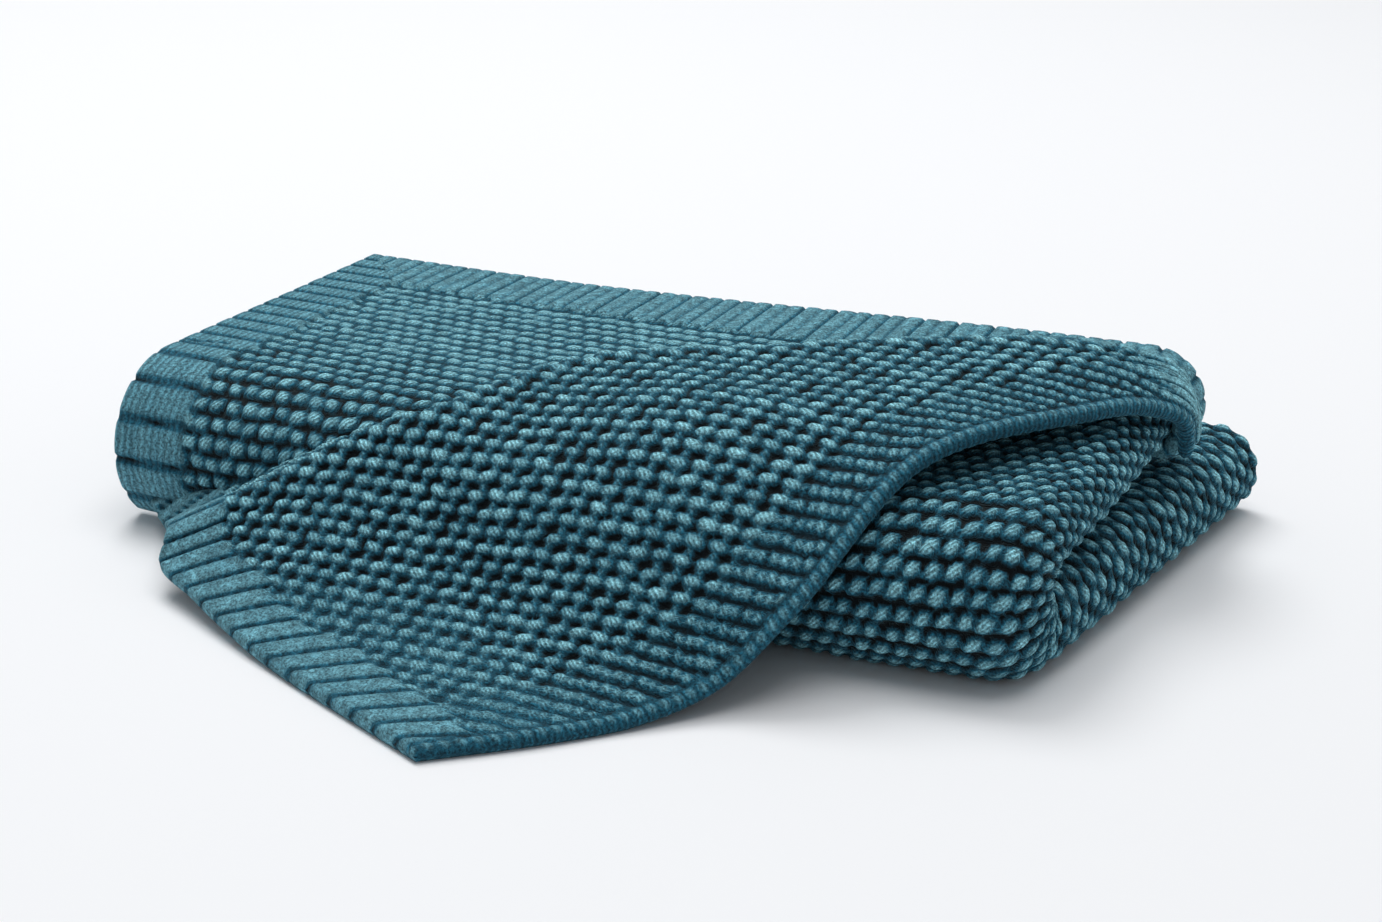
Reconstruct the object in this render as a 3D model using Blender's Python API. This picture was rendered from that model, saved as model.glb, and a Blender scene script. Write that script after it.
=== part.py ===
# Folded knit blanket: one chunky knitted cloth, folded into a stack, its top layer
# turned back over the front so that one corner lies on the surface.
# The cloth is drawn as its middle surface and then given its thickness.
# Lengths below are in millimetres, and the mesh is made in metres.
# +X runs along the stack, +Y to its back, +Z up. The origin is the middle of the base.

import bpy
import bmesh
import math
import numpy as np

# the cloth
CLOTH = 7.0               # thickness of the knit
HALF = CLOTH / 2
CLEAR = 4.0               # gap between the stack and the top sheet on it
BORDER = 55.0             # width of the ribbed border

# the stack under the top sheet, in plan
CENTRE_X, CENTRE_Y = -6.5, -69.2     # middle of the whole thing, moved to the origin at the end
LEFT_END = -294.0
RIGHT_END_FRONT, RIGHT_END_UPPER, RIGHT_END_LOWER = 256.0, 258.0, 289.0
UPPER_BACK, LOWER_BACK_LEFT, LOWER_BACK_RIGHT = 110.0, 128.0, 178.0
FRONT_AT = [(-300, -146), (122, -143), (255, -120)]    # x, y of the front face
HEIGHT_LEFT, HEIGHT_RIGHT = 83.0, 91.0                 # height of the stack under the top sheet
CREVICE = 4.0                                          # gap between upper and lower half
LOWER_SHARE = 0.57                                     # the lower half is the thicker one
LIFT_RIGHT = 13.0                                      # the upper half rises to its right back corner
LEAN_RIGHT = 12.0                                      # its front bottom edge stands forward there

# the top sheet, in cloth lengths: u from its left edge, v from its back edge
EDGE_LEFT = -301.0        # x of its left edge on top of the stack
TUCK_ANGLE = 165.0        # how far it bends round the right end, into the crevice
TURN_LEFT = 322.0         # cloth from the back edge, over the stack and down to the surface
TURN = [(0.0, TURN_LEFT), (0.2, TURN_LEFT), (0.3, 296.0), (0.4, 235.0), (0.5, 175.0),
        (0.6, 130.0), (0.72, 84.0), (0.83, 46.0), (1.0, 32.0)]      # and how far it reaches under the flap

# the turned-back flap: how far along the sheet, then each of its lines there
FLAP_STATIONS = [0.0, 0.09, 0.18, 0.27, 0.36, 0.54, 0.72, 0.83, 0.90, 0.95]
FLAP_LINES = {
    "crest": [(-222, -204, 27), (-180, -182, 50), (-126, -153, 79), (-87, -132, 96), (-50, -68, 108),
              (52, -2, 115), (153, 60, 118), (215, 84, 118), (257, 86, 112), (275, 84, 85)],
    "mid": [(-112, -268, 3.5), (-68, -230, 15), (-24, -192, 34), (14, -164, 68), (52, -127, 100),
            (122, -52, 113), (198, 26, 116), (242, 58, 114), (270, 70, 102), (275, 75, 78)],
    "selvedge": [(19, -316, 3.5), (60, -278, 3.5), (93, -242, 3.5), (124, -204, 14), (151, -171, 48),
                 (184, -93, 106), (235, -2, 109), (262, 38, 104), (275, 58, 90), (274, 65, 70)],
}
# at the left it rises from the surface: station, root on the stack (x, s), and the line before the crest
VALLEY_STATIONS = [0.0, 0.09, 0.18]
VALLEY_ROOT = [(-285, 313), (-208, 290), (-128, 262)]
VALLEY_RISE = [(-258, -166, 7), (-196, -168, 40), (-129, -150, 74)]

# the ribs, raised on the middle surface: pitch along the border, in cloth lengths
RIB_HEIGHT = 1.5
RIB_PITCH_TOP, RIB_PITCH_FLAP, RIB_PITCH_BACK = 30.0, 19.0, 14.0
BACK_CUTS, LEFT_CUTS = 4, 3           # extra points along the borders, to carry the ribs

COLOUR = (0.028, 0.145, 0.185, 1.0)


def clear_scene():
    for ob in list(bpy.data.objects):
        bpy.data.objects.remove(ob, do_unlink=True)


def smooth(a, b, x):
    """0 below a, 1 above b, with a soft change between."""
    t = min(max((x - a) / (b - a), 0.0), 1.0)
    return t * t * (3 - 2 * t)


def lerp(a, b, t):
    return a + (b - a) * t


def curve(points, at, keys=None):
    """Point of a smooth curve through the points, at a place on the keys."""
    p = np.array(points, float)
    k = np.arange(len(p), dtype=float) if keys is None else np.array(keys, float)
    i = int(np.clip(np.searchsorted(k, at, side="right") - 1, 0, len(k) - 2))
    h = k[i + 1] - k[i]
    t = (at - k[i]) / h

    def slope(j):
        if j == 0:
            return (p[1] - p[0]) / (k[1] - k[0])
        if j == len(k) - 1:
            return (p[-1] - p[-2]) / (k[-1] - k[-2])
        before, after = k[j] - k[j - 1], k[j + 1] - k[j]
        return ((p[j] - p[j - 1]) / before * after + (p[j + 1] - p[j]) / after * before) / (before + after)

    m0, m1 = slope(i) * h, slope(i + 1) * h
    return ((2 * t**3 - 3 * t**2 + 1) * p[i] + (t**3 - 2 * t**2 + t) * m0
            + (3 * t**2 - 2 * t**3) * p[i + 1] + (t**3 - t**2) * m1)


# The stack: its section is a long oval, flat above and below and round in front.

def along(x):
    return min(max((x - LEFT_END) / (RIGHT_END_FRONT - LEFT_END), 0.0), 1.0)


def height(x):
    return lerp(HEIGHT_LEFT, HEIGHT_RIGHT, along(x))


def front(x):
    xs, ys = zip(*FRONT_AT)
    return float(curve([(y,) for y in ys], min(max(x, xs[0]), xs[-1]), xs)[0])


def upper_back(x):
    return UPPER_BACK + 8 * along(x)


def lift(x, y):
    """How much higher the top lies towards the right back corner."""
    centre = front(x) + height(x) / 2
    t = min(max((y - centre) / (upper_back(x) - centre), 0.0), 1.1)
    return LIFT_RIGHT * smooth(0.2, 1.0, along(x)) * t * t


def outside(x, s, h):
    """y, z of a point h outside the stack, s along it: over the top from the back, round the front."""
    r = height(x) / 2
    centre = front(x) + r
    flat = upper_back(x) - centre
    if s <= flat:
        y = centre + flat - s
        return y, 2 * r + h + lift(x, y)
    a = (s - flat) / (r + HALF)
    return centre - (r + h) * math.sin(a), r + (r + h) * math.cos(a)


# The folded core: four layers, back and forth along X, the bundle bent round the front fold.

def halves(x):
    """Thickness of the upper and of the lower half of the stack."""
    cloth = height(x) - CREVICE
    return cloth * (1 - LOWER_SHARE), cloth * LOWER_SHARE


def pitch(x, t):
    """Distance between the layers, t from 0 at the top back, over the front fold, to 3."""
    upper, lower = halves(x)
    return (lerp(upper, lower, smooth(1.0, 2.0, t)) - CLOTH) / 3


def lean(x, t, n):
    """How far a layer stands forward near the right front bottom edge, the outer layers most."""
    share = 0.5 + n / (3 * pitch(x, t))
    return LEAN_RIGHT * smooth(0.55, 1.0, along(x)) * smooth(1.0, 2.0, t) * (1 - smooth(2.0, 3.0, t)) * share


def core_path(x, t):
    """Middle of the bundle: y, z and the way out of the bend."""
    upper, lower = halves(x)
    top, bottom = height(x) - upper / 2, lower / 2
    r, middle = (top - bottom) / 2, (top + bottom) / 2
    centre_y = front(x) + height(x) / 2
    if t <= 1:
        y = lerp(upper_back(x) - 2, centre_y, t)
        return y, top + lift(x, y), 0.0, 1.0
    if t <= 2:
        a = math.pi * (t - 1)
        return centre_y - r * math.sin(a), middle + r * math.cos(a), -math.sin(a), math.cos(a)
    back = lerp(LOWER_BACK_LEFT, LOWER_BACK_RIGHT, along(x))
    return lerp(centre_y, back, t - 2), bottom, 0.0, -1.0


def core_right(t):
    if t <= 1.5:
        return lerp(RIGHT_END_UPPER, RIGHT_END_FRONT, smooth(0.4, 1.3, t))
    return lerp(RIGHT_END_FRONT, RIGHT_END_LOWER, max(t - 1.9, 0.0) / 1.1)


def core_section(t):
    """The four layers at one place on the bend: x and distance from the bundle's middle."""
    right, left = core_right(t), LEFT_END
    steps = 5
    rows = []
    p_right, p_left = pitch(right, t), pitch(left, t)

    def run(x0, x1, n0, n1):
        for k in range(steps + 1):
            f = k / steps
            rows.append((lerp(x0, x1, f), lerp(n0, n1, f)))

    def bend(x, r, mid, a0, a1, parts):
        for k in range(1, parts):
            a = math.radians(lerp(a0, a1, k / parts))
            rows.append((x + r * math.cos(a), mid + r * math.sin(a)))

    big = 1.5 * p_right
    small = 0.5 * p_right
    nose = right - HALF - big
    run(left + 4, nose, 1.5 * p_left, big)
    bend(nose, big, 0.0, 90, -90, 8)
    run(nose, left + 12, -big, -1.5 * p_left)
    bend(left + 12, p_left / 2, -p_left, 270, 90, 5)
    run(left + 12, nose, -0.5 * p_left, -small)
    bend(nose, small, 0.0, -90, 90, 6)
    run(nose, left + 10, small, 0.5 * p_left)
    return rows


def core_mesh():
    count = len(core_section(0.0))
    ts = [k / 4 for k in range(4)] + [1 + k / 8 for k in range(8)] + [2 + k / 4 for k in range(5)]
    bm = bmesh.new()
    bmesh.ops.create_grid(bm, x_segments=count - 1, y_segments=len(ts) - 1, size=0.5)
    for v in bm.verts:
        i = round((v.co.x + 0.5) * (count - 1))
        t = ts[round((v.co.y + 0.5) * (len(ts) - 1))]
        x, n = core_section(t)[i]
        y, z, ny, nz = core_path(x, t)
        y += ny * n - lean(x, t, n)
        v.co = ((x - CENTRE_X) / 1000, (y - CENTRE_Y) / 1000, (z + nz * n) / 1000)
    bmesh.ops.recalc_face_normals(bm, faces=bm.faces)
    return bm


# The top sheet: over the stack, down its front, forward along the surface, up to the crest
# of the flap, and over it to the selvedge.

UPPER_RIGHT = halves(RIGHT_END_UPPER)[0]
NOSE_X = RIGHT_END_UPPER - UPPER_RIGHT / 2             # the right end is round from here
NOSE_R = UPPER_RIGHT / 2 + HALF + CLEAR
TUCK_FROM = NOSE_X - EDGE_LEFT
SHEET_U = TUCK_FROM + NOSE_R * math.radians(TUCK_ANGLE)


def turn_at(p):
    """How far the sheet follows the stack, to the surface at the left, less far under the flap."""
    at, reach = zip(*TURN)
    return float(curve([(r,) for r in reach], p, at)[0])


def on_stack(x, s):
    """Middle of the sheet on the stack, bent down over the right end, where it joins the stack."""
    y, z = outside(min(x, NOSE_X), s, HALF + CLEAR)
    if x > NOSE_X:
        a = (x - NOSE_X) / NOSE_R
        r = NOSE_R - (CLEAR + 5) * smooth(0.75, 1.0, a / math.radians(TUCK_ANGLE))
        x, z = NOSE_X + r * math.sin(a), z - NOSE_R + r * math.cos(a)
    return np.array((x, y, max(z, HALF)))


def nearest_on_stack(q):
    """x and s of the sheet's point nearest to q, where the sheet lies on the stack."""
    x = q[0]
    if x > NOSE_X:
        z_top = outside(NOSE_X, upper_back(NOSE_X) - q[1], HALF + CLEAR)[1]
        x = NOSE_X + NOSE_R * math.atan2(x - NOSE_X, q[2] - z_top + NOSE_R)
    r = height(min(x, NOSE_X)) / 2
    centre = front(min(x, NOSE_X)) + r
    flat = upper_back(min(x, NOSE_X)) - centre
    if q[1] >= centre:
        return x, flat + centre - q[1]
    return x, flat + (r + HALF) * math.atan2(centre - q[1], q[2] - r)


def rolled_back(p, crest):
    """Root and rise of a round roll that ends in the crest and leaves the sheet at a right angle."""
    line = FLAP_LINES["crest"]
    last = FLAP_STATIONS[-1]
    ridge = curve(line, min(p + 0.03, last), FLAP_STATIONS) - curve(line, p - 0.03, FLAP_STATIONS)
    up = crest - on_stack(*nearest_on_stack(crest))
    size = np.linalg.norm(up)
    back = np.cross(up, ridge)
    back *= size / np.linalg.norm(back)
    root = on_stack(*nearest_on_stack(crest - up + back))
    return root, crest - 0.29 * up + 0.71 * back


def top_point(p, w):
    """Top sheet: w counts from the back edge, 3 is the inner line of the border, 12 the front."""
    turn = turn_at(p)
    hem = min(BORDER, 0.6 * turn)
    s = hem * w / 3 if w <= 3 else lerp(hem, turn, (w - 3) / 9)
    return on_stack(EDGE_LEFT + p * SHEET_U, s), s


def flap_section(p):
    """Flap: points from its root on the stack, over the crest, to the selvedge."""
    crest, mid, edge = (curve(FLAP_LINES[n], p, FLAP_STATIONS) for n in FLAP_LINES)
    q = min(p, VALLEY_STATIONS[-1])
    root = on_stack(*curve(VALLEY_ROOT, q, VALLEY_STATIONS))
    rise = curve(VALLEY_RISE, q, VALLEY_STATIONS)
    if p > VALLEY_STATIONS[1]:
        rolled = smooth(VALLEY_STATIONS[1], VALLEY_STATIONS[2] + 0.02, p)
        root, rise = (lerp(a, b, rolled) for a, b in zip((root, rise), rolled_back(p, crest)))
    over = lerp(crest, mid, min(0.5, 15 / np.linalg.norm(mid - crest)))
    over = over + np.array((-5, -10, -10)) * (1 - smooth(0.0, 0.12, p))      # the corner drops at once
    pts = [root, rise, crest, over] + [curve([over, mid, edge], k / 3) for k in range(1, 7)]
    return [np.array((q[0], q[1], max(q[2], HALF))) for q in pts]


def flap_point(p, w):
    """Flap: w counts from the root, 2 is the crest and 9 the selvedge."""
    q = curve(flap_section(p), w)
    return np.array((q[0], q[1], max(q[2], HALF)))


TOP_ROWS = [0, 1, 2, 3, 4, 5, 6] + [6 + 0.75 * k for k in range(1, 9)]
FLAP_ROWS = [k / 2 for k in range(19)]


def rib(phase):
    """One rib and its groove: a rounded ridge and a narrower channel."""
    return RIB_HEIGHT * (math.cos(2 * math.pi * phase) + 0.25 * math.cos(4 * math.pi * phase))


def relief(u, v, step):
    """Height of the ribs: across the left border, and across the back border, mitred in the corner."""
    if v < BORDER + 0.5 and u > v:
        end = smooth(TUCK_FROM - 30, TUCK_FROM, u)
        return rib(u / RIB_PITCH_BACK) * (1 - 0.8 * smooth(0.6, 1.0, v / BORDER)) * (1 - end)
    if u < BORDER + 0.5:
        return rib(v / step) * (1 - 0.8 * smooth(0.6, 1.0, u / BORDER))
    return 0.0


def sheet_mesh(point, rows, back_border, start, step, end):
    """A grid laid out flat, with more points along the borders, then carried to its place."""
    us = [BORDER * k / 3 for k in range(4)]
    us += [lerp(BORDER, TUCK_FROM, k / 17) for k in range(1, 18)]
    us += [lerp(TUCK_FROM, end, k / 5) for k in range(1, 6)]
    bm = bmesh.new()
    nu, nw = len(us) - 1, len(rows) - 1
    bmesh.ops.create_grid(bm, x_segments=nu, y_segments=nw, size=0.5)
    for v in bm.verts:
        v.co = ((v.co.x + 0.5) * nu, (v.co.y + 0.5) * nw, 0)

    def edges_of_border(other):
        return [e for e in bm.edges if abs(e.verts[0].co[other] - e.verts[1].co[other]) < 0.01
                and e.verts[0].co[other] < 3.01]

    if back_border:
        bmesh.ops.subdivide_edges(bm, edges=edges_of_border(1), cuts=BACK_CUTS, use_grid_fill=True)
    bmesh.ops.subdivide_edges(bm, edges=edges_of_border(0), cuts=LEFT_CUTS, use_grid_fill=True)

    lengths = {}
    for v in bm.verts:
        u = float(np.interp(v.co.x, range(nu + 1), us))
        w = float(np.interp(v.co.y, range(nw + 1), rows))
        p = u / SHEET_U
        key = round(u, 3)
        if key not in lengths:
            ws = np.linspace(rows[0], rows[-1], 121)
            line = np.array([point(p, q) for q in ws])
            far = np.concatenate(([0], np.cumsum(np.linalg.norm(np.diff(line, axis=0), axis=1))))
            lengths[key] = (ws, far)
        away = start + float(np.interp(w, *lengths[key]))
        q = point(p, w)
        up = relief(u, away, step)
        if up:
            d = 0.004
            du = point(min(p + d, end / SHEET_U), w) - point(max(p - d, 0), w)
            dw = point(p, min(w + 0.05, rows[-1])) - point(p, max(w - 0.05, 0))
            n = np.cross(dw, du)
            q = q + n / max(np.linalg.norm(n), 1e-9) * up
            q[2] = max(q[2], HALF)
        v.co = ((q[0] - CENTRE_X) / 1000, (q[1] - CENTRE_Y) / 1000, q[2] / 1000)
    bmesh.ops.recalc_face_normals(bm, faces=bm.faces)
    return bm


def cloth_object(name, bm, material):
    """An object of the drawn middle surface, with the thickness of the cloth."""
    me = bpy.data.meshes.new(name)
    bm.to_mesh(me)
    bm.free()
    me.materials.append(material)
    me.shade_smooth()
    ob = bpy.data.objects.new(name, me)
    bpy.context.scene.collection.objects.link(ob)
    thick = ob.modifiers.new("thickness of the knit", "SOLIDIFY")
    thick.thickness = CLOTH / 1000
    thick.offset = 0
    thick.use_even_offset = False
    return ob


def main():
    clear_scene()
    yarn = bpy.data.materials.new("petrol blue yarn")
    yarn.use_nodes = True
    shader = yarn.node_tree.nodes["Principled BSDF"]
    shader.inputs["Base Color"].default_value = COLOUR
    shader.inputs["Roughness"].default_value = 0.9
    shader.inputs["Metallic"].default_value = 0.0

    blanket = cloth_object("blanket", core_mesh(), yarn)
    top = sheet_mesh(lambda p, w: top_point(p, w)[0], TOP_ROWS, True, 0.0, RIB_PITCH_TOP, SHEET_U)
    flap = sheet_mesh(flap_point, FLAP_ROWS, False, TURN_LEFT, RIB_PITCH_FLAP, FLAP_STATIONS[-1] * SHEET_U)
    for name, bm in (("top_sheet", top), ("flap", flap)):
        part = cloth_object(name, bm, yarn)
        part.hide_render = True
        part.display_type = "WIRE"
        joined = blanket.modifiers.new(name + " is one cloth with it", "BOOLEAN")
        joined.operation = "UNION"
        joined.solver = "MANIFOLD"
        joined.object = part


main()
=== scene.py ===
# %% [markdown]
# # A folded knit blanket
# One chunky knitted cloth is folded into a stack. Its top layer is turned back over
# the front, so that one corner lies on the table and the rest hangs like a small tent.
# The cloth could be draped by a simulation. Here every fold is worked out by a function,
# because the picture shows exactly where each fold lies. The stitches are then raised
# on the surface as real geometry, so they catch the light and hide the grooves.

# %% The frame and the sizes
import math
import bpy
import bmesh
import numpy as np
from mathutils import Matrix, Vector


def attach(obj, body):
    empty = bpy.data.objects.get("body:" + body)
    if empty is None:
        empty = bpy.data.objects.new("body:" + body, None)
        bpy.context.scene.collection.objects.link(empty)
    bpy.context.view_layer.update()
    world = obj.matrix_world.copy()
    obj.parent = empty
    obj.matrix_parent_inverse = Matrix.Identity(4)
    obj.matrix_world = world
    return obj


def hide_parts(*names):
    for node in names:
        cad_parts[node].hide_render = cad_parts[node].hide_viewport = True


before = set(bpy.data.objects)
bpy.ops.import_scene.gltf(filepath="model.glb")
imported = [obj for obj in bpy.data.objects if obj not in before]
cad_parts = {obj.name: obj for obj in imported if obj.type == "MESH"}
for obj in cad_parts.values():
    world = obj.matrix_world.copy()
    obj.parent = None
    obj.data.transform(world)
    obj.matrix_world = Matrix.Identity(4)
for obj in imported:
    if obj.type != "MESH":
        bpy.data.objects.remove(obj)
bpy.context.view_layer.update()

CLOTH, HALF = 7.0, 3.5                     # thickness of the knit; lengths are in millimetres
CLEAR = 4.0                                # gap between the stack and the top layer
CENTRE = np.array((-6.5, -69.2, 0.0))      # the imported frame's origin, in the folds' coordinates

# %% [markdown]
# The camera stands where the photographer stood, 28 degrees to the right of the front and
# 22 degrees above the table. Two broad soft lamps hang over the table, one of them at the
# left and behind. A faint one in front and a pale world fill the shadows, and the table
# is a plain pale sheet.

# %% Camera, floor and light
SPIN, RISE, AWAY = math.radians(28), math.radians(22), 1.35
FOCUS, IMAGE_WIDTH, FILM_WIDTH = 2300, 1382, 36        # pixels, pixels and millimetres
target = Vector((0.0065, 0.0692, 0.04))
camera = bpy.data.objects.new("camera", bpy.data.cameras.new("camera"))
camera.location = target + AWAY * Vector((math.sin(SPIN) * math.cos(RISE),
                                          -math.cos(SPIN) * math.cos(RISE), math.sin(RISE)))
camera.rotation_euler = (target - camera.location).to_track_quat("-Z", "Y").to_euler()
camera.data.lens = FOCUS / IMAGE_WIDTH * FILM_WIDTH
bpy.context.scene.collection.objects.link(camera)
bpy.context.scene.camera = camera


def linear(colour):
    """Red, green and blue of a hex colour, as the renderer counts light."""
    parts = [int(colour[k:k + 2], 16) / 255 for k in (1, 3, 5)]
    return (*[c / 12.92 if c <= 0.04045 else ((c + 0.055) / 1.055) ** 2.4 for c in parts], 1.0)


def area_light(name, place, power, width):
    lamp = bpy.data.lights.new(name, "AREA")
    lamp.shape, lamp.size, lamp.energy = "DISK", width, power
    ob = bpy.data.objects.new(name, lamp)
    ob.location = place
    ob.rotation_euler = (Vector((0, 0, 0.05)) - Vector(place)).to_track_quat("-Z", "Y").to_euler()
    bpy.context.scene.collection.objects.link(ob)


area_light("soft window light", (-2.0, 1.6, 4.2), 98, 2.6)
area_light("wide soft box above", (0.2, 0.4, 4.6), 98, 4.0)
area_light("faint light from the front left", (-2.6, -3.2, 2.4), 2, 2.8)
world = bpy.data.worlds.new("pale studio")
world.use_nodes = True
sky = world.node_tree.nodes["Background"]
sky.inputs["Color"].default_value = linear("#f4f6f9")
sky.inputs["Strength"].default_value = 0.35
bpy.context.scene.world = world
bpy.context.scene.view_settings.view_transform = "Standard"

bm = bmesh.new()
bmesh.ops.create_grid(bm, x_segments=1, y_segments=1, size=6)
floor_mesh = bpy.data.meshes.new("table top")
bm.to_mesh(floor_mesh)
bm.free()
floor = bpy.data.objects.new("table_top", floor_mesh)
bpy.context.scene.collection.objects.link(floor)
paint = bpy.data.materials.new("matt white table")
paint.use_nodes = True
matt = paint.node_tree.nodes["Principled BSDF"]
matt.inputs["Base Color"].default_value = linear("#f4f5f7")
matt.inputs["Roughness"].default_value = 0.75              # no reflection of the lamps shows
floor_mesh.materials.append(paint)
print("camera, three lights, a world and a table")

# %% [markdown]
# The folds are drawn with three small helpers: a soft step, a straight mix of two values,
# and a smooth curve through a few points. The curve keeps the hand-made look, since the
# points that it passes through are a little uneven.

# %% Helpers for the folds


def smooth(a, b, x):
    """0 below a, 1 above b, with a soft change between."""
    t = min(max((x - a) / (b - a), 0.0), 1.0)
    return t * t * (3 - 2 * t)


def lerp(a, b, t):
    return a + (b - a) * t


def curve(points, at, keys=None):
    """Point of a smooth curve through the points, at a place on the keys."""
    p = np.array(points, float)
    k = np.arange(len(p), dtype=float) if keys is None else np.array(keys, float)
    i = int(np.clip(np.searchsorted(k, at, side="right") - 1, 0, len(k) - 2))
    h = k[i + 1] - k[i]
    t = (at - k[i]) / h

    def slope(j):
        if j == 0:
            return (p[1] - p[0]) / (k[1] - k[0])
        if j == len(k) - 1:
            return (p[-1] - p[-2]) / (k[-1] - k[-2])
        before, after = k[j] - k[j - 1], k[j + 1] - k[j]
        return ((p[j] - p[j - 1]) / before * after + (p[j + 1] - p[j]) / after * before) / (before + after)

    m0, m1 = slope(i) * h, slope(i + 1) * h
    return ((2 * t**3 - 3 * t**2 + 1) * p[i] + (t**3 - 2 * t**2 + t) * m0
            + (3 * t**2 - 2 * t**3) * p[i + 1] + (t**3 - t**2) * m1)


print("a point half way on a curve:", curve([(0, 0), (10, 4), (20, 0)], 0.5).round(2))

# %% [markdown]
# Under the top layer lies the stack. Its section is a long oval: flat above and below,
# and round in front, where all the layers bend together. It is a little higher at the
# right, and its upper half rises towards the right back corner.

# %% The outline of the stack
LEFT_END = -294.0
RIGHT_END_FRONT, RIGHT_END_UPPER, RIGHT_END_LOWER = 256.0, 258.0, 289.0
UPPER_BACK, LOWER_BACK_LEFT, LOWER_BACK_RIGHT = 110.0, 128.0, 178.0
FRONT_AT = [(-300, -146), (122, -143), (255, -120)]
HEIGHT_LEFT, HEIGHT_RIGHT, LIFT_RIGHT = 83.0, 91.0, 13.0
CREVICE, LOWER_SHARE = 4.0, 0.57           # the gap between the two halves, and the lower one's share
LEAN_RIGHT = 12.0                          # how far the bottom of the front stands out at the right


def along(x):
    return min(max((x - LEFT_END) / (RIGHT_END_FRONT - LEFT_END), 0.0), 1.0)


def height(x):
    return lerp(HEIGHT_LEFT, HEIGHT_RIGHT, along(x))


def front(x):
    xs, ys = zip(*FRONT_AT)
    return float(curve([(y,) for y in ys], min(max(x, xs[0]), xs[-1]), xs)[0])


def upper_back(x):
    return UPPER_BACK + 8 * along(x)


def lift(x, y):
    """How much higher the top lies towards the right back corner."""
    centre = front(x) + height(x) / 2
    t = min(max((y - centre) / (upper_back(x) - centre), 0.0), 1.1)
    return LIFT_RIGHT * smooth(0.2, 1.0, along(x)) * t * t


def outside(x, s, h):
    """y, z of a point h outside the stack, s along it: over the top from the back, round the front."""
    r = height(x) / 2
    centre = front(x) + r
    flat = upper_back(x) - centre
    if s <= flat:
        y = centre + flat - s
        return y, 2 * r + h + lift(x, y)
    a = (s - flat) / (r + HALF)
    return centre - (r + h) * math.sin(a), r + (r + h) * math.cos(a)


print("the stack is", HEIGHT_LEFT, "mm high at the left and", HEIGHT_RIGHT, "mm at the right")

# %% [markdown]
# The stack itself is one back-and-forth fold of four layers, bent round the front. Its
# section is drawn once as straight runs and round bends. Each place on the bend then
# gives the height of the bundle and the way out of it.

# %% The folded stack


def halves(x):
    """Thickness of the upper and of the lower half of the stack."""
    both = height(x) - CREVICE
    return both * (1 - LOWER_SHARE), both * LOWER_SHARE


def pitch(x, t):
    """Distance between the layers, t from 0 at the top back, over the front fold, to 3."""
    upper, lower = halves(x)
    return (lerp(upper, lower, smooth(1.0, 2.0, t)) - CLOTH) / 3


def lean(x, t, n):
    """How far a layer stands forward near the right front bottom edge, the outer layers most."""
    share = 0.5 + n / (3 * pitch(x, t))
    low_in_front = smooth(1.0, 2.0, t) * (1 - smooth(2.0, 3.0, t))
    return LEAN_RIGHT * smooth(0.55, 1.0, along(x)) * low_in_front * share


def bundle(x, t):
    """Middle of the bundle of layers: y, z and the way out of the bend."""
    upper, lower = halves(x)
    top, bottom = height(x) - upper / 2, lower / 2
    r, middle = (top - bottom) / 2, (top + bottom) / 2
    centre_y = front(x) + height(x) / 2
    if t <= 1:
        y = lerp(upper_back(x) - 2, centre_y, t)
        return y, top + lift(x, y), 0.0, 1.0
    if t <= 2:
        a = math.pi * (t - 1)
        return centre_y - r * math.sin(a), middle + r * math.cos(a), -math.sin(a), math.cos(a)
    back = lerp(LOWER_BACK_LEFT, LOWER_BACK_RIGHT, along(x))
    return lerp(centre_y, back, t - 2), bottom, 0.0, -1.0


def right_end(t):
    if t <= 1.5:
        return lerp(RIGHT_END_UPPER, RIGHT_END_FRONT, smooth(0.4, 1.3, t))
    return lerp(RIGHT_END_FRONT, RIGHT_END_LOWER, max(t - 1.9, 0.0) / 1.1)


def layers(t):
    """The four layers at one place on the bend: x and distance from the bundle's middle."""
    right, left = right_end(t), LEFT_END
    rows = []
    p_right, p_left = pitch(right, t), pitch(left, t)

    def run(x0, x1, n0, n1, steps):
        for k in range(steps + 1):
            rows.append((lerp(x0, x1, k / steps), lerp(n0, n1, k / steps)))

    def bend(x, r, mid, a0, a1, parts):
        for k in range(1, parts):
            a = math.radians(lerp(a0, a1, k / parts))
            rows.append((x + r * math.cos(a), mid + r * math.sin(a)))

    big, small = 1.5 * p_right, 0.5 * p_right
    nose = right - HALF - big
    run(left + 4, nose, 1.5 * p_left, big, 24)
    bend(nose, big, 0.0, 90, -90, 12)
    run(nose, left + 12, -big, -1.5 * p_left, 24)
    bend(left + 12, p_left / 2, -p_left, 270, 90, 8)
    run(left + 12, nose, -0.5 * p_left, -small, 12)
    bend(nose, small, 0.0, -90, 90, 8)
    run(nose, left + 10, small, 0.5 * p_left, 12)
    return rows


def stack_point(t):
    """One row of the stack, from the outer layer round all its bends."""
    out = []
    for x, n in layers(t):
        y, z, ny, nz = bundle(x, t)
        out.append((x, y + ny * n - lean(x, t, n), z + nz * n))
    return out


print("one section of the stack has", len(layers(0.0)), "points")

# %% [markdown]
# The top layer follows the stack from its back edge, over the front and down to the
# table, and bends round the right end into the crevice. The flap starts from it: it
# rises to the crest, the diagonal ridge of the fold, and falls to its free edge. The
# crest, the middle and the free edge are each given at a few stations along the cloth,
# because a hand-turned flap follows no simple rule, and smooth curves join them.

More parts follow.
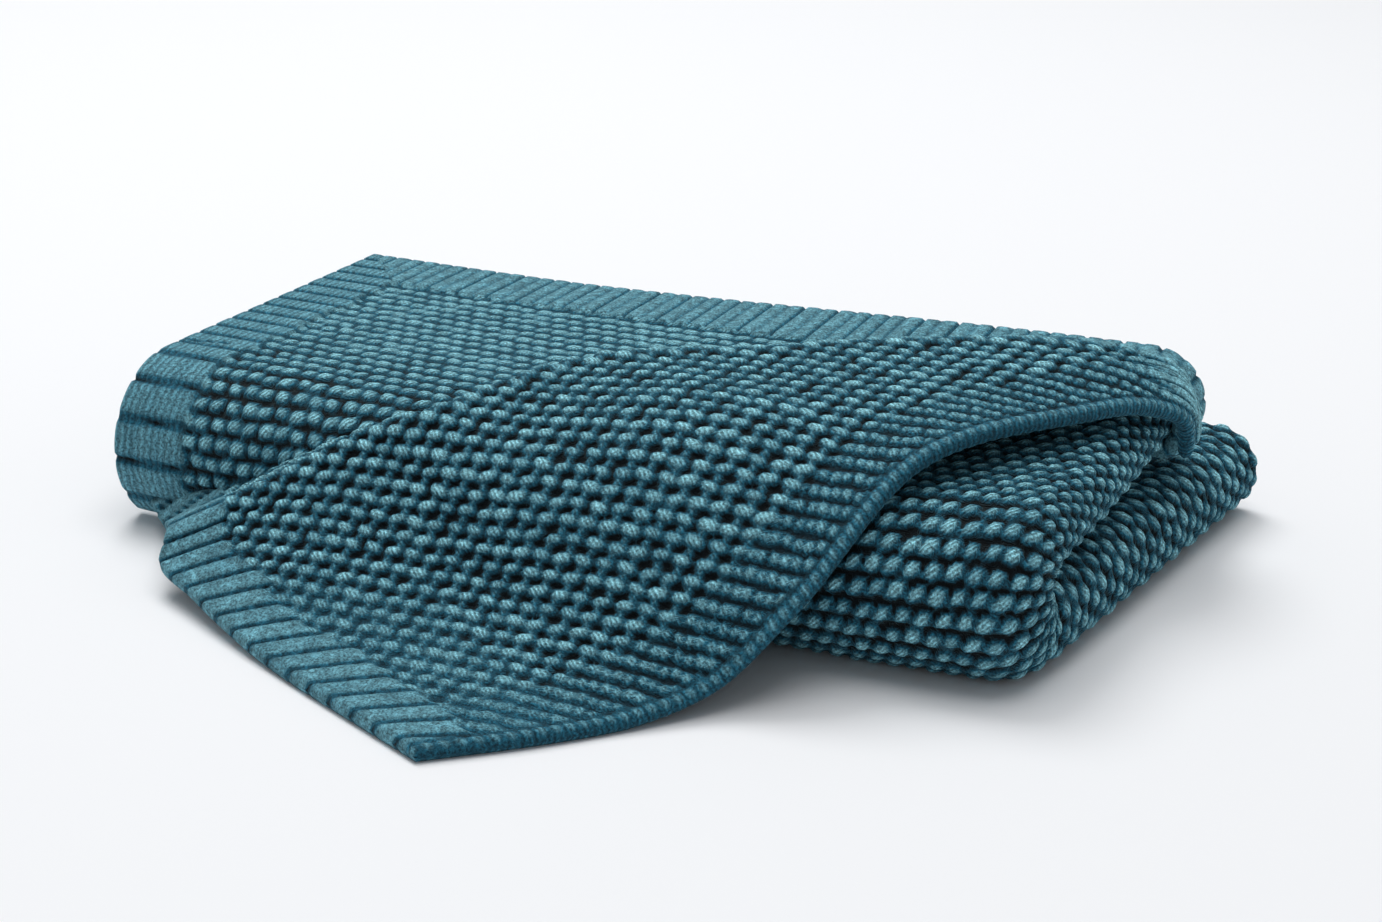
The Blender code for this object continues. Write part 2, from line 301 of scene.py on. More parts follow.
# %% The top layer and the flap
EDGE_LEFT, TUCK_ANGLE, TURN_LEFT = -301.0, 165.0, 322.0
TURN = [(0.0, TURN_LEFT), (0.2, TURN_LEFT), (0.3, 296.0), (0.4, 235.0), (0.5, 175.0),
        (0.6, 130.0), (0.72, 84.0), (0.83, 46.0), (1.0, 32.0)]
FLAP_STATIONS = [0.0, 0.09, 0.18, 0.27, 0.36, 0.54, 0.72, 0.83, 0.90, 0.95]
CREST = [(-222, -204, 27), (-180, -182, 50), (-126, -153, 79), (-87, -132, 96), (-50, -68, 108),
         (52, -2, 115), (153, 60, 118), (215, 84, 118), (257, 86, 112), (275, 84, 85)]
MIDDLE = [(-112, -268, 3.5), (-68, -230, 15), (-24, -192, 34), (14, -164, 68), (52, -127, 100),
          (122, -52, 113), (198, 26, 116), (242, 58, 114), (270, 70, 102), (275, 75, 78)]
FREE_EDGE = [(19, -316, 3.5), (60, -278, 3.5), (93, -242, 3.5), (124, -204, 14), (151, -171, 48),
             (184, -93, 106), (235, -2, 109), (262, 38, 104), (275, 58, 90), (274, 65, 70)]
VALLEY_STATIONS = [0.0, 0.09, 0.18]
VALLEY_ROOT = [(-285, 313), (-208, 290), (-128, 262)]
VALLEY_RISE = [(-258, -166, 7), (-196, -168, 40), (-129, -150, 74)]
UPPER_RIGHT = halves(RIGHT_END_UPPER)[0]
NOSE_X = RIGHT_END_UPPER - UPPER_RIGHT / 2
NOSE_R = UPPER_RIGHT / 2 + HALF + CLEAR
TUCK_FROM = NOSE_X - EDGE_LEFT
SHEET_U = TUCK_FROM + NOSE_R * math.radians(TUCK_ANGLE)


def turn_at(p):
    at, reach = zip(*TURN)
    return float(curve([(r,) for r in reach], p, at)[0])


def on_stack(x, s):
    """Middle of the sheet on the stack, bent down over the right end, where it joins the stack."""
    y, z = outside(min(x, NOSE_X), s, HALF + CLEAR)
    if x > NOSE_X:
        a = (x - NOSE_X) / NOSE_R
        r = NOSE_R - (CLEAR + 5) * smooth(0.75, 1.0, a / math.radians(TUCK_ANGLE))
        x, z = NOSE_X + r * math.sin(a), z - NOSE_R + r * math.cos(a)
    return np.array((x, y, max(z, HALF)))


def nearest_on_stack(q):
    """x and s of the sheet's point nearest to q, where the sheet lies on the stack."""
    x = q[0]
    if x > NOSE_X:
        z_top = outside(NOSE_X, upper_back(NOSE_X) - q[1], HALF + CLEAR)[1]
        x = NOSE_X + NOSE_R * math.atan2(x - NOSE_X, q[2] - z_top + NOSE_R)
    r = height(min(x, NOSE_X)) / 2
    centre = front(min(x, NOSE_X)) + r
    flat = upper_back(min(x, NOSE_X)) - centre
    if q[1] >= centre:
        return x, flat + centre - q[1]
    return x, flat + (r + HALF) * math.atan2(centre - q[1], q[2] - r)


def rolled_back(p, crest):
    """Root and rise of a round roll that ends in the crest and leaves the sheet at a right angle."""
    last = FLAP_STATIONS[-1]
    ridge = curve(CREST, min(p + 0.03, last), FLAP_STATIONS) - curve(CREST, p - 0.03, FLAP_STATIONS)
    up = crest - on_stack(*nearest_on_stack(crest))
    size = np.linalg.norm(up)
    back = np.cross(up, ridge)
    back *= size / np.linalg.norm(back)
    root = on_stack(*nearest_on_stack(crest - up + back))
    return root, crest - 0.29 * up + 0.71 * back


def top_point(p, w):
    """Top layer: w counts from 0 at the back edge to 1 where it turns or goes under the flap."""
    return on_stack(EDGE_LEFT + p * SHEET_U, w * turn_at(p))


def flap_line(p):
    """Flap: ten points from its root, over the crest, to the free edge."""
    crest, mid, edge = (curve(line, p, FLAP_STATIONS) for line in (CREST, MIDDLE, FREE_EDGE))
    q = min(p, VALLEY_STATIONS[-1])
    root = on_stack(*curve(VALLEY_ROOT, q, VALLEY_STATIONS))
    rise = curve(VALLEY_RISE, q, VALLEY_STATIONS)
    if p > VALLEY_STATIONS[1]:
        rolled = smooth(VALLEY_STATIONS[1], VALLEY_STATIONS[2] + 0.02, p)
        root, rise = (lerp(a, b, rolled) for a, b in zip((root, rise), rolled_back(p, crest)))
    over = lerp(crest, mid, min(0.5, 15 / np.linalg.norm(mid - crest)))
    over = over + np.array((-5, -10, -10)) * (1 - smooth(0.0, 0.12, p))      # the corner drops at once
    return [root, rise, crest, over] + [curve([over, mid, edge], k / 3) for k in range(1, 7)]


def flap_point(p, w):
    """Flap: w counts from 0 at the root to 1 at the free edge; the crest is at 2/9."""
    q = curve(flap_line(p), 9 * w)
    return np.array((q[0], q[1], max(q[2], HALF)))


print("the top layer is", round(SHEET_U), "mm long along the stack")

# %% [markdown]
# A fold function is slow to ask half a million times, so each sheet is sampled every
# few millimetres and a smooth curve fills in the rest. Two channels go along with the
# place: how far a point lies along and across the cloth. The stitches need them, since
# they follow the cloth and not the room.

# %% From a coarse net to a fine one


def fine(net, at):
    """The net at fractional places along its first axis, on smooth curves through its points."""
    net = np.concatenate(([2 * net[0] - net[1]], net, [2 * net[-1] - net[-2]]))
    i = np.clip(np.floor(at).astype(int), 0, len(net) - 4)
    t = (at - i)[:, None, None]
    a, b, c, d = net[i], net[i + 1], net[i + 2], net[i + 3]
    return b + 0.5 * t * (c - a + t * (2 * a - 5 * b + 4 * c - d + t * (3 * (b - c) + d - a)))


def coarse_net(point, ps, ws, u_of, v_start):
    """Places, cloth length along and cloth length across, at every p and w."""
    net = np.array([[point(p, w) for w in ws] for p in ps])
    across = np.linalg.norm(np.diff(net, axis=1), axis=2)
    v = v_start + np.concatenate((np.zeros((len(ps), 1)), np.cumsum(across, axis=1)), axis=1)
    u = np.repeat(np.array([u_of(p) for p in ps])[:, None], len(ws), axis=1)
    return np.dstack((net, u, v))


def spread(length, parts):
    """Fractional places along an axis of a net: for each part, from, to and the step in mm."""
    out = []
    for start, end, step in parts:
        count = max(int(round(length * abs(end - start) / step)), 1)
        out += [lerp(start, end, k / count) for k in range(count)]
    return np.array(out + [parts[-1][1]])


print("nets are filled in between their points")

# %% [markdown]
# Seed stitch is a field of little knots in offset rows, each a short loop of yarn that
# bulges out, with dark gaps between. Every knot is a rounded dome, stretched along one
# direction, and moved and sized a little at random, because hand-fed yarn is never even.
# The random numbers come from the knot's own row and column, so they are the same in
# every run. The borders are ribs: broad ridges with narrow grooves between them.

# %% The stitches
PLY = 2.4                                  # distance between the twists of the yarn
BORDER = 55.0                              # width of the ribbed border


def chance(i, j, k):
    """A fixed random number from 0 to 1 for a knot in column i and row j."""
    x = np.sin(i * 127.1 + j * 311.7 + k * 74.7) * 43758.5453
    return x - np.floor(x)


def knots(x, y, column, row, slant, length, width, tilt=0.0, ears=0.0):
    """Rows of knots: height from 0 to 1, and how far along its plies each point of a knot lies, in mm.

    Each row stands slant columns further on. Tilt leans the knots, and ears adds the small
    loop beside each one that the flap's face shows."""
    best, strand = np.zeros_like(x), np.zeros_like(x)
    j0 = np.round(y / row)
    for dj in (-1, 0, 1):
        j = j0 + dj
        i0 = np.round(x / column - slant * j)
        for di in (-1, 0, 1):
            i = i0 + di
            size = 0.9 + 0.2 * chance(i, j, 3)
            dy = y - row * j - 1.5 * (chance(i, j, 2) - 0.5)
            dx = x - column * (i + slant * j) - 1.5 * (chance(i, j, 1) - 0.5) + tilt * dy
            turned = dy + 0.5 * (chance(i, j, 5) - 0.5) * dx
            a = np.abs(dx) / (0.5 * length * size)
            b = np.abs(turned) / (0.5 * width * size * (0.84 + 0.3 * np.minimum(a, 1)))
            h = np.clip(1 - a**2.4 - b**2.2, 0, 1) ** 0.55 * (0.82 + 0.18 * chance(i, j, 4))
            if ears:
                ear = np.hypot((dx - 0.2 * column) / 3.3, (dy - ears * row) / 4.6)
                h = np.maximum(h, 0.7 * np.clip(1 - ear**2, 0, 1) ** 0.5)
            strand = np.where(h > best, 0.75 * dx + 0.65 * dy + 3 * chance(i, j, 6), strand)
            best = np.maximum(best, h)
    return best, strand


def rib(f):
    """One rib: a broad round ridge, then a narrow groove."""
    f = 2 * (f - np.floor(f)) - 1
    return np.clip(1 - np.abs(f) ** 7, 0, 1) ** 0.6


def soft(a, b, x):
    """The soft step again, for whole arrays."""
    t = np.clip((x - a) / (b - a), 0, 1)
    return t * t * (3 - 2 * t)


def border(across_rib, along_rib, rib_pitch, loop_pitch):
    """A ribbed border: its height from 0 to 1, and the loops of yarn that cross it, in mm."""
    f = across_rib / rib_pitch
    uneven = 0.06 * (chance(np.floor(f), np.floor(along_rib / 9), 7) - 0.5)
    middle = np.abs(f - np.floor(f) - 0.5)
    return rib(f) * (0.92 + uneven), PLY * (along_rib / loop_pitch + 0.35 * middle)


print("a knot's top:", np.round(knots(np.zeros(1), np.zeros(1), 12, 11, 0.5, 12, 9)[0], 2))

# %% [markdown]
# A sheet of cloth is a closed skin: the face, the back, and a round edge all about. Both
# sides are grids from one operator. The thickness falls to nothing at a free edge along
# a quarter circle, so the two grids meet there and are joined. Where a sheet is cut into
# two pieces only to keep them light, each ends in a flat wall with a sharp edge, and the
# two walls touch. A function of the place on the cloth raises the stitches on both sides,
# and it also gives each point its painted shading, dark painted shade in the gaps between
# the knots and a pale painted highlight on their tops, and how far along the plies it
# lies, both of which the yarn's material reads.

# %% A piece of cloth
ROUND_EDGE = 4.5                           # how far in from a free edge the rounding starts


def cloth(name, net, us, ws, height_of, rims, material):
    """A closed sheet on the net; rims: is it free at the first and last u, the first and last w."""
    f = fine(fine(net, us).transpose(1, 0, 2), ws).transpose(1, 0, 2)
    place, u, v = f[..., :3], f[..., 3], f[..., 4]
    du, dw = np.gradient(place, axis=0), np.gradient(place, axis=1)
    out = np.cross(dw, du)
    out /= np.maximum(np.linalg.norm(out, axis=2, keepdims=True), 1e-9)
    edge = np.ones_like(u)
    steps_u = np.cumsum(np.linalg.norm(np.diff(place, axis=0, prepend=place[:1]), axis=2), axis=0)
    steps_w = np.cumsum(np.linalg.norm(np.diff(place, axis=1, prepend=place[:, :1]), axis=2), axis=1)
    for free, d in zip(rims, (steps_u, steps_u[-1:] - steps_u, steps_w, steps_w[:, -1:] - steps_w)):
        if free:
            q = np.clip(1 - d / ROUND_EDGE, 0, 1)
            edge = np.minimum(edge, np.sqrt(1 - q * q))
    walls = [int(not free) for free in rims]
    wall_u = np.pad(np.arange(u.shape[0]), walls[:2], mode="edge")
    wall_w = np.pad(np.arange(u.shape[1]), walls[2:], mode="edge")
    h, painted_shading, strand = height_of(*np.moveaxis(f[..., 3:], 2, 0), steps_w[:, -1:] - steps_w)
    skin = (out * (edge * (HALF + h))[..., None])[wall_u][:, wall_w]
    if walls[0]:
        skin[0] = 0
    if walls[1]:
        skin[-1] = 0
    middle = place[wall_u][:, wall_w]
    sides = np.array([middle + skin, middle - skin])
    u, v, painted_shading, plies = (k[wall_u][:, wall_w] for k in (u, v, painted_shading, strand / PLY))
    count_u, count_w = u.shape
    bm = bmesh.new()
    for side in (0, 1):
        made = bmesh.ops.create_grid(bm, x_segments=count_u - 1, y_segments=count_w - 1, size=0.5)
        bmesh.ops.translate(bm, verts=made["verts"], vec=(0, 0, side))
    me = bpy.data.meshes.new(name)
    bm.to_mesh(me)
    bm.free()
    co = np.empty(len(me.vertices) * 3)
    me.vertices.foreach_get("co", co)
    co = co.reshape(-1, 3)
    i = np.round((co[:, 0] + 0.5) * (count_u - 1)).astype(int)
    j = np.round((co[:, 1] + 0.5) * (count_w - 1)).astype(int)
    side = np.round(co[:, 2]).astype(int)
    done = (sides[side, i, j] - CENTRE) / 1000
    done[:, 2] = np.maximum(done[:, 2], 0.0002)
    me.vertices.foreach_set("co", done.ravel())
    # The knot attribute holds painted shading: painted shade in the gaps, painted highlight on the knots'
    # tops.
    me.attributes.new("knot", "FLOAT", "POINT").data.foreach_set("value", painted_shading[i, j])
    me.attributes.new("ply", "FLOAT", "POINT").data.foreach_set("value", plies[i, j])
    ends = np.empty(len(me.edges) * 2, dtype=int)
    me.edges.foreach_get("vertices", ends)
    ends_i = i[ends.reshape(-1, 2)]
    sharp = np.zeros(len(me.edges), dtype=bool)
    if walls[0]:
        sharp |= (ends_i == 1).all(axis=1)
    if walls[1]:
        sharp |= (ends_i == count_u - 2).all(axis=1)
    me.attributes.new("sharp_edge", "BOOLEAN", "EDGE").data.foreach_set("value", sharp)
    loop_vert = np.empty(len(me.loops), dtype=int)
    me.loops.foreach_get("vertex_index", loop_vert)
    uv = np.stack((u[i, j], v[i, j]), axis=1)[loop_vert] / 1000
    me.uv_layers.new(name="cloth").data.foreach_set("uv", uv.ravel())
    bm = bmesh.new()
    bm.from_mesh(me)
    bmesh.ops.remove_doubles(bm, verts=bm.verts, dist=1e-6)
    bmesh.ops.recalc_face_normals(bm, faces=bm.faces)
    bm.to_mesh(me)
    bm.free()
    me.shade_smooth()
    me.materials.append(material)
    ob = bpy.data.objects.new(name, me)
    bpy.context.scene.collection.objects.link(ob)
    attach(ob, "root")
    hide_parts("blanket")


print("a free edge is rounded over", ROUND_EDGE, "mm")

# %% [markdown]
# The yarn is a soft matt wool-like one in petrol blue. Its fibres scatter light at
# grazing angles, which the sheen gives. Its colour is painted with light and shade: it
# runs from nearly black painted shade in the gaps between the knots to a pale blue
# painted highlight on their tops. Two finer patterns lie over it: a fleck of single
# fibres, and the twist of the plies, painted as shade in the grooves between them. Each
# is both a change of colour and a bump, because neither alone looks like wool close by.

# %% The yarn


def node(tree, kind, x, y, **values):
    """One more node in the tree, with its settings and the values of its sockets."""
    made = tree.nodes.new(kind)
    made.location = (x, y)
    for name, value in values.items():
        if hasattr(made, name):
            setattr(made, name, value)
        else:
            made.inputs[name.replace("_", " ")].default_value = value
    return made


yarn = bpy.data.materials.new("petrol blue wool yarn")
yarn.use_nodes = True
tree = yarn.node_tree
link = tree.links.new
shader = tree.nodes["Principled BSDF"]
for socket, value in (("Roughness", 0.88), ("IOR", 1.5), ("Specular IOR Level", 0.25), ("Sheen Weight", 0.2),
                      ("Sheen Roughness", 0.45), ("Sheen Tint", linear("#8fc4cf"))):
    shader.inputs[socket].default_value = value

where = node(tree, "ShaderNodeTexCoord", -1500, 0)
fibres = node(tree, "ShaderNodeTexNoise", -1250, 150, Scale=750.0, Detail=3.0, Roughness=0.65)
patches = node(tree, "ShaderNodeTexNoise", -1500, -450, Scale=220.0, Detail=2.0)
link(where.outputs["Object"], fibres.inputs["Vector"])
link(where.outputs["Object"], patches.inputs["Vector"])
knot = node(tree, "ShaderNodeAttribute", -1250, 420, attribute_name="knot")

# Painted shade and highlight: nearly black in the gaps between the knots, pale blue on their tops.
painted_shading = node(tree, "ShaderNodeValToRGB", -950, 420)
painted_shading.color_ramp.elements[0].color = linear("#010a10")
painted_shading.color_ramp.elements[0].position = 0.2
painted_shading.color_ramp.elements[1].color = linear("#9adbe8")
painted_shading.color_ramp.elements[1].position = 1.0
middle = painted_shading.color_ramp.elements.new(0.6)
middle.color = linear("#1f6077")
link(knot.outputs["Fac"], painted_shading.inputs["Fac"])

fleck = node(tree, "ShaderNodeValToRGB", -950, 150)
fleck.color_ramp.elements[0].color = (0.25, 0.25, 0.25, 1)
fleck.color_ramp.elements[0].position = 0.36
fleck.color_ramp.elements[1].color = (1.65, 1.65, 1.65, 1)
fleck.color_ramp.elements[1].position = 0.64
link(fibres.outputs["Fac"], fleck.inputs["Fac"])

mixed = node(tree, "ShaderNodeMix", -650, 300, data_type="RGBA", blend_type="MULTIPLY")
mixed.inputs["Factor"].default_value = 0.8
link(painted_shading.outputs["Color"], mixed.inputs[6])
link(fleck.outputs["Color"], mixed.inputs[7])

ply = node(tree, "ShaderNodeAttribute", -1250, -350, attribute_name="ply")
turns = node(tree, "ShaderNodeMath", -1050, -350, operation="MULTIPLY_ADD")
turns.inputs[1].default_value = 2 * math.pi
stray = node(tree, "ShaderNodeMath", -1250, -550, operation="MULTIPLY")
stray.inputs[1].default_value = 7.0
wave = node(tree, "ShaderNodeMath", -850, -350, operation="SINE")
link(ply.outputs["Fac"], turns.inputs[0])
link(patches.outputs["Fac"], stray.inputs[0])
link(stray.outputs["Value"], turns.inputs[2])
link(turns.outputs["Value"], wave.inputs[0])
# Painted shade: the colour darkens in the grooves between the twists of the plies.
shade = node(tree, "ShaderNodeMapRange", -650, -100)
shade.inputs["From Min"].default_value = -1.0
shade.inputs["To Min"].default_value = 0.62
shade.inputs["To Max"].default_value = 1.2
link(wave.outputs["Value"], shade.inputs["Value"])
yarn_colour = node(tree, "ShaderNodeMix", -400, 300, data_type="RGBA", blend_type="MULTIPLY")
yarn_colour.inputs["Factor"].default_value = 1.0
link(mixed.outputs[2], yarn_colour.inputs[6])
link(shade.outputs["Result"], yarn_colour.inputs[7])
link(yarn_colour.outputs[2], shader.inputs["Base Color"])

fuzz = node(tree, "ShaderNodeBump", -400, -150, Strength=0.8, Distance=0.0008)
link(fibres.outputs["Fac"], fuzz.inputs["Height"])
rope = node(tree, "ShaderNodeBump", -200, -350, Strength=0.6, Distance=0.0005)
link(wave.outputs["Value"], rope.inputs["Height"])
link(fuzz.outputs["Normal"], rope.inputs["Normal"])
link(rope.outputs["Normal"], shader.inputs["Normal"])
print("the yarn has", len(tree.nodes), "nodes")

# %% [markdown]
# The top layer comes first. Its knots are small and close on the flat, and open up where
# the layer bends down in front. Its left and back edges carry ribbed borders that meet in
# a mitre at the corner, and the left one is crossed by the loops of its own rows.

# %% The top layer
RIB_BACK, RIB_LEFT, RIB_LEFT_BENT = 11.1, 15.5, 23.0       # one rib of each border, across
LOOP_BACK, LOOP_LEFT = 4.0, 4.9                            # one loop of yarn along a rib


def top_height(u, v, to_edge):
    """Relief in mm, painted shading from 0 to 1 and place along the plies, on the top layer."""
    in_front = soft(140, 230, v)
    base, strand = knots(u, v - 10 * soft(150, 300, v), 11.4, 10.2, 0.5, 12.2, 10.0)
    left, left_ply = border(v + 8 * soft(190, 230, v), u,
                            lerp(RIB_LEFT, RIB_LEFT_BENT, soft(195, 205, v)), LOOP_LEFT)
    back = border(u, v, RIB_BACK, LOOP_BACK)[0]
    in_back = (v < BORDER) & (u > v)
    in_left = (u < BORDER) & ~in_back
    uneven = 5 * (chance(np.floor(v / RIB_LEFT), 1, 8) - 0.5)
    part = np.where(in_back | in_left, 1 - soft(BORDER - 5, BORDER, np.where(in_back, v, u + uneven)), 0)
    strip = np.where(in_back, back, left)
    deep = lerp(1.7, 3.4, in_front)
    h = lerp(-0.5 - 0.25 * deep + deep * base, -1.8 + 4.2 * strip, part)
    # Painted shade: the gaps between the knots are darker where the layer bends down in front, and the
    # grooves of the ribbed borders are darker than the ribs.
    knot = lerp(lerp(0.42, 0.12, in_front) + lerp(0.52, 0.85, in_front) * base,
                np.where(in_back, 0.25 + 0.55 * strip, 0.02 + 0.76 * strip), part)
    return h, knot, np.where(part > 0.5, np.where(in_back, 0, left_ply), strand)


ps, ws = np.linspace(0, 1, 90), np.linspace(0, 1, 60)
net = coarse_net(top_point, ps, ws, lambda p: p * SHEET_U, 0.0)
us = spread(SHEET_U, [(0, 1, 2.0)]) * (len(ps) - 1)
vs = spread(TURN_LEFT, [(0, 1, 2.2)]) * (len(ws) - 1)
cloth("top_layer", net, us, vs, top_height, (True, True, True, True), yarn)

# %% [markdown]
# The flap shows the other face of the cloth. Its knots are larger and lie in a chequered
# order. The flap twists as it falls, so rows laid along its own edges would be skewed.
# Instead two coordinates are spread over it that keep true millimetres as well as they
# can, and their rows run level across the picture. The free edge has finer knots and a
# beaded selvedge, and the pleats run towards the tuck. The flap is made in two pieces
# that meet without a seam, to keep each light enough to work with.

# %% The turned-back flap
ROW_TURN, RIB_TURN = (0.934, 0.358), (0.998, 0.07)     # cosine and sine of 21 and of 4 degrees
RIB_FLAP, LOOP_FLAP = 14.8, 3.7
FLAP_LENGTH = 270.0                                    # from the root to the free edge, at most


def even_rows(net):
    """Two coordinates on the flap, in true millimetres: along the picture's width and across it."""
    du, dw = np.gradient(net, axis=0), np.gradient(net, axis=1)
    out = np.cross(dw, du)
    out /= np.linalg.norm(out, axis=2, keepdims=True)
    right = np.array((math.cos(SPIN), math.sin(SPIN), 0))
    axes = [right - (out @ right)[..., None] * out]
    axes[0] /= np.linalg.norm(axes[0], axis=2, keepdims=True)
    axes.append(np.cross(out, axes[0]))
    point = np.arange(net[..., 0].size).reshape(net.shape[:2])
    first, second, steps = [], [], []
    for a, b in ((np.s_[:-1], np.s_[1:]), (np.s_[:, :-1], np.s_[:, 1:])):
        first.append(point[a].ravel())
        second.append(point[b].ravel())
        way = net[b] - net[a]
        steps.append(np.stack([(way * (k[a] + k[b]) / 2).sum(axis=2).ravel() for k in axes], 1))
    first, second, steps = (np.concatenate(k) for k in (first, second, steps))
    pairs = np.zeros((len(first) + 1, point.size))
    pairs[np.arange(len(first)), second] = 1
    pairs[np.arange(len(first)), first] = -1
    pairs[-1, 0] = 1
    solved = np.linalg.lstsq(pairs, np.concatenate((steps, np.zeros((1, 2)))), rcond=None)[0]
    return solved.reshape(*point.shape, 2)


def flap_height(u, v, s, r, to_edge):
    """Relief in mm, painted shading from 0 to 1 and place along the plies, on the flap."""
    x, y = ROW_TURN[0] * s - ROW_TURN[1] * r, ROW_TURN[1] * s + ROW_TURN[0] * r
    base, strand = knots(x, y, 12.2, 10.1, 0.26, 13.6, 9.2, ears=0.5)
    finer, finer_ply = knots(x, y, 6.1, 10.1, 0.52, 7.0, 9.2)
    near_edge = 1 - soft(38, 46, to_edge)
    base, strand = lerp(base, 0.25 + 0.6 * finer, near_edge), np.where(near_edge > 0.5, finer_ply, strand)

    # Gathered into pleats towards the tuck, and the back border's ribs where it bends over the end.
    share = (v - TURN_LEFT) / (v - TURN_LEFT + to_edge + 0.1)
    pleats = soft(505, 560, u) * soft(0.2, 0.3, share)
    base = lerp(base, 0.1 + 0.8 * rib(9 * share), pleats)
    over_end = soft(450, 520, u) * (1 - soft(0.2, 0.3, share))
    base = lerp(base, 0.3 + 0.5 * rib(u / RIB_BACK), over_end)
    strand = np.where(pleats + over_end > 0.5, 0, strand)

    # The border at the left, and beside it the cloth that lies on the table, less open than the rest.
    # There the gaps get less painted shade, as light falls on the flat cloth, and the rib grooves get
    # painted shade.
    along_rib, across_rib = RIB_TURN[0] * s + RIB_TURN[1] * r, RIB_TURN[0] * r - RIB_TURN[1] * s
    ribs = border(across_rib, along_rib, RIB_FLAP, LOOP_FLAP)[0]
    from_left = along_rib - np.interp(across_rib, LEFT_RIM[:, 1], LEFT_RIM[:, 0])
    from_left = from_left + 9 * (chance(np.floor(across_rib / RIB_FLAP), 2, 9) - 0.5)
    in_border = 1 - soft(38, 44, from_left)
    lying = (1 - soft(60, 150, from_left)) * soft(95, 150, v - TURN_LEFT)
    h = lerp(lerp(-1.5 + 4.4 * base, -0.9 + 2.6 * base, lying), -1.6 + 4.0 * ribs, in_border)
    knot = lerp(lerp(base, 0.35 + 0.5 * base, lying), 0.88 * ribs - 0.06, in_border)

    # The selvedge, one bead for every 8 mm, with painted shade between the beads.
    bead = np.clip(1 - ((to_edge - 4) / 5) ** 2, 0, 1) ** 0.5 * (0.88 + 0.12 * np.cos(2 * np.pi * u / 8))
    selvedge = 1 - soft(7, 10, to_edge)
    h = lerp(h, -1 + 2.6 * bead, selvedge)
    knot = lerp(knot, 0.15 + 0.6 * bead, selvedge)
    strand = np.where(selvedge > 0.5, 0.7 * u, strand)
    return h, knot, np.where(in_border > 0.5, 0, strand)


flap_end = FLAP_STATIONS[-1]
ps, ws = np.linspace(0, flap_end, 36), np.linspace(0, 1, 28)
rows = even_rows(np.array([[flap_point(p, w) for w in ws] for p in ps]))
cos, sin = RIB_TURN
LEFT_RIM = (rows[0] @ np.array(((cos, -sin), (sin, cos))))[::-1]
at_p, at_w = np.linspace(0, len(ps) - 1, 110), np.linspace(0, len(ws) - 1, 64)
rows = fine(fine(rows, at_p).transpose(1, 0, 2), at_w).transpose(1, 0, 2)
ps, ws = np.linspace(0, flap_end, 110), np.linspace(0, 1, 64)
net = coarse_net(flap_point, ps, ws, lambda p: p * SHEET_U, TURN_LEFT)
net = np.dstack((net, rows))
vs = spread(FLAP_LENGTH, [(0, 0.1, 4), (0.1, 1, 1.5)]) * (len(ws) - 1)
for name, start, end, rims in (("flap_left", 0, 0.45, (True, False, True, True)),
                               ("flap_right", 0.45, 1, (False, True, True, True))):
    us = spread(flap_end * SHEET_U, [(start, end, 1.5)]) * (len(ps) - 1)
    cloth(name, net, us, vs, flap_height, rims, yarn)

# %% [markdown]
# Last come the layers of the stack. Only the outer layer shows at the right, where it
# rounds the front and the end in big square-set knots, so that part is fine. The layers
# inside show only as edges, at the left and at the back. Their grid is coarse except at
# those edges, and a knot that a grid can't carry turns into a spike, so it is kept low.

# %% The stack
SPLIT = 340.0                              # from the left end to where the fine part starts
PAST_NOSE = 75.0                           # how far the fine part goes on below the right end
CLOSE = 28.0                               # width of the strips of finer grid at the edges


def stack_knots(u, v):
    """Square-set knots that lean a little, as they do round the front."""
    return knots(u, v, 10.4, 10.6, 0.5, 9.8, 11.2, tilt=0.3)


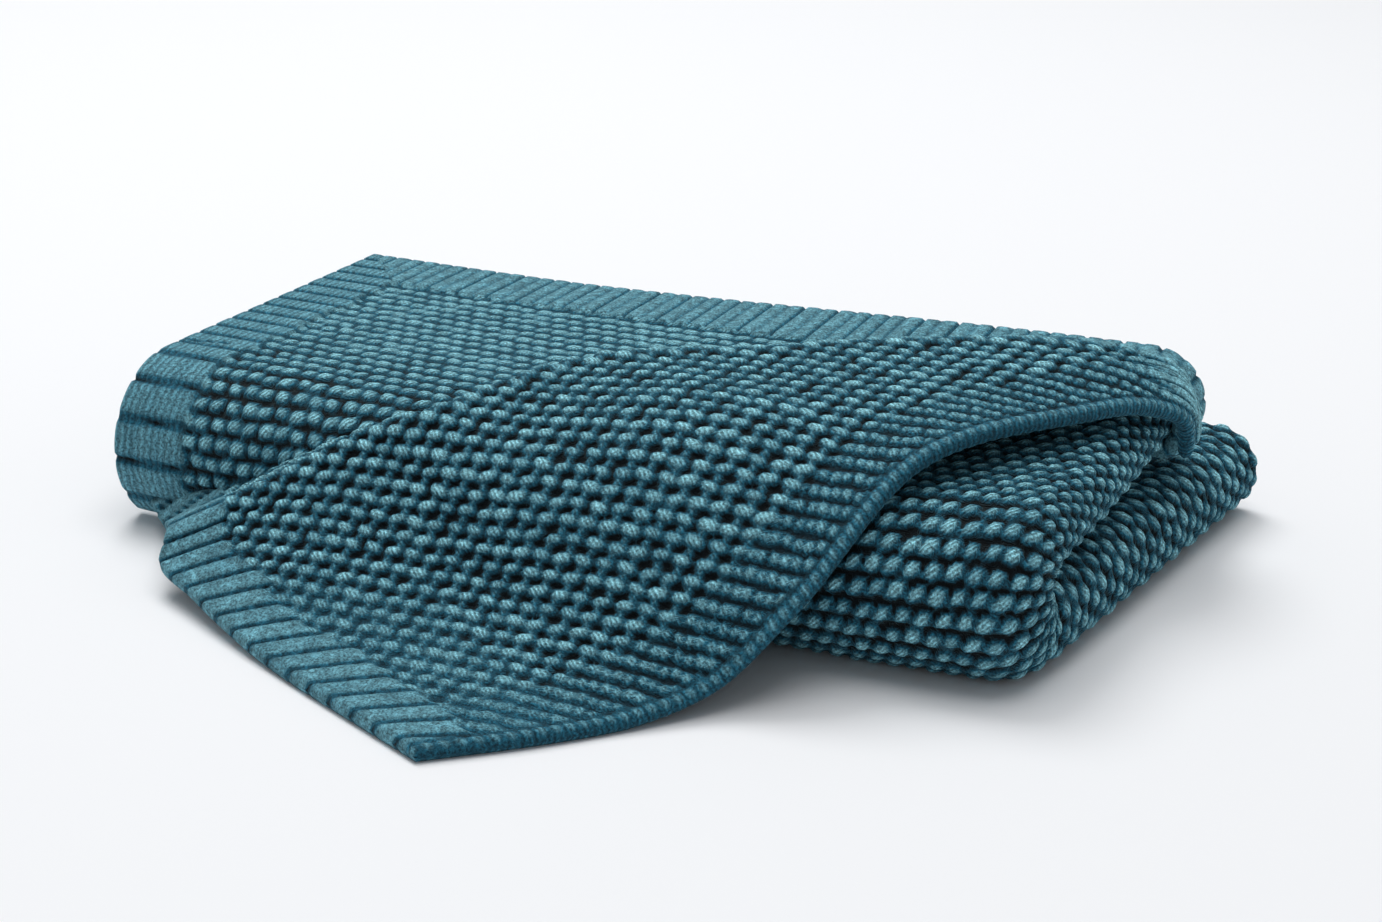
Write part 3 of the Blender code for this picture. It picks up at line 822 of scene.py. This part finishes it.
def end_height(u, v, to_edge):
    """Relief in mm, painted shading from 0 to 1 and place along the plies, where the stack shows well."""
    base, strand = stack_knots(u, v)
    yarn_between, other = knots(u - 5.2, v - 1.5, 10.4, 10.6, 0.5, 8.0, 5.4)
    strand = np.where(base > 0.6 * yarn_between, strand, other)
    base = np.maximum(base, 0.6 * yarn_between)
    return -1.5 + 4.4 * base, base, strand


def inner_height(u, v, to_edge):
    """The same for the coarser pieces."""
    base, strand = stack_knots(u, v)
    from_edge = np.minimum(np.minimum(u, np.abs(u - left_bend)), along_u[-1] - u)
    close = 1 - soft(12, 26, from_edge)
    h = lerp(-0.2, -0.9, close) + lerp(0.6, 2.4, close) * base
    return h, 0.3 + lerp(0.35, 0.6, close) * base, strand


def between(lengths, parts):
    """Fractional places on a net's axis, from parts given in millimetres along it."""
    out = [parts[0][0]]
    for start, end, step in parts:
        count = max(int(round((end - start) / step)), 1)
        out += [lerp(start, end, (k + 1) / count) for k in range(count)]
    return np.interp(out, lengths, np.arange(len(lengths)))


def length_along(row):
    """How far along the row each of its points lies."""
    return np.concatenate(([0], np.cumsum(np.linalg.norm(np.diff(row, axis=0), axis=1))))


ts = np.concatenate((np.linspace(0, 1, 20)[:-1], np.linspace(1, 2, 40)[:-1], np.linspace(2, 3, 22)))
rows = np.array([stack_point(t) for t in ts]).transpose(1, 0, 2)
along_u, along_v = length_along(rows[:, 40]), length_along(rows[12])
net = np.dstack((rows, np.repeat(along_u[:, None], len(ts), 1), np.repeat(along_v[None], len(rows), 0)))
below_nose = along_u[24] + PAST_NOSE
left_bend = (along_u[60] + along_u[68]) / 2

us = between(along_u, [(SPLIT, below_nose, 1.9)])
vs = between(along_v, [(0, along_v[-1], 1.9)])
cloth("stack_right_end", net, us, vs, end_height, (False, False, True, True), yarn)
vs = between(along_v, [(0, along_v[-1], 3.3)])
us = between(along_u, [(0, CLOSE, 2.4), (CLOSE, SPLIT, 6.0)])
cloth("stack_outer_layer", net, us, vs, inner_height, (True, False, True, True), yarn)
last = along_u[-1]
us = between(along_u, [(below_nose, left_bend - CLOSE, 7.0), (left_bend - CLOSE, left_bend + CLOSE, 2.4),
                       (left_bend + CLOSE, last - CLOSE, 7.0), (last - CLOSE, last, 2.4)])
cloth("stack_inner_layers", net, us, vs, inner_height, (False, True, True, True), yarn)
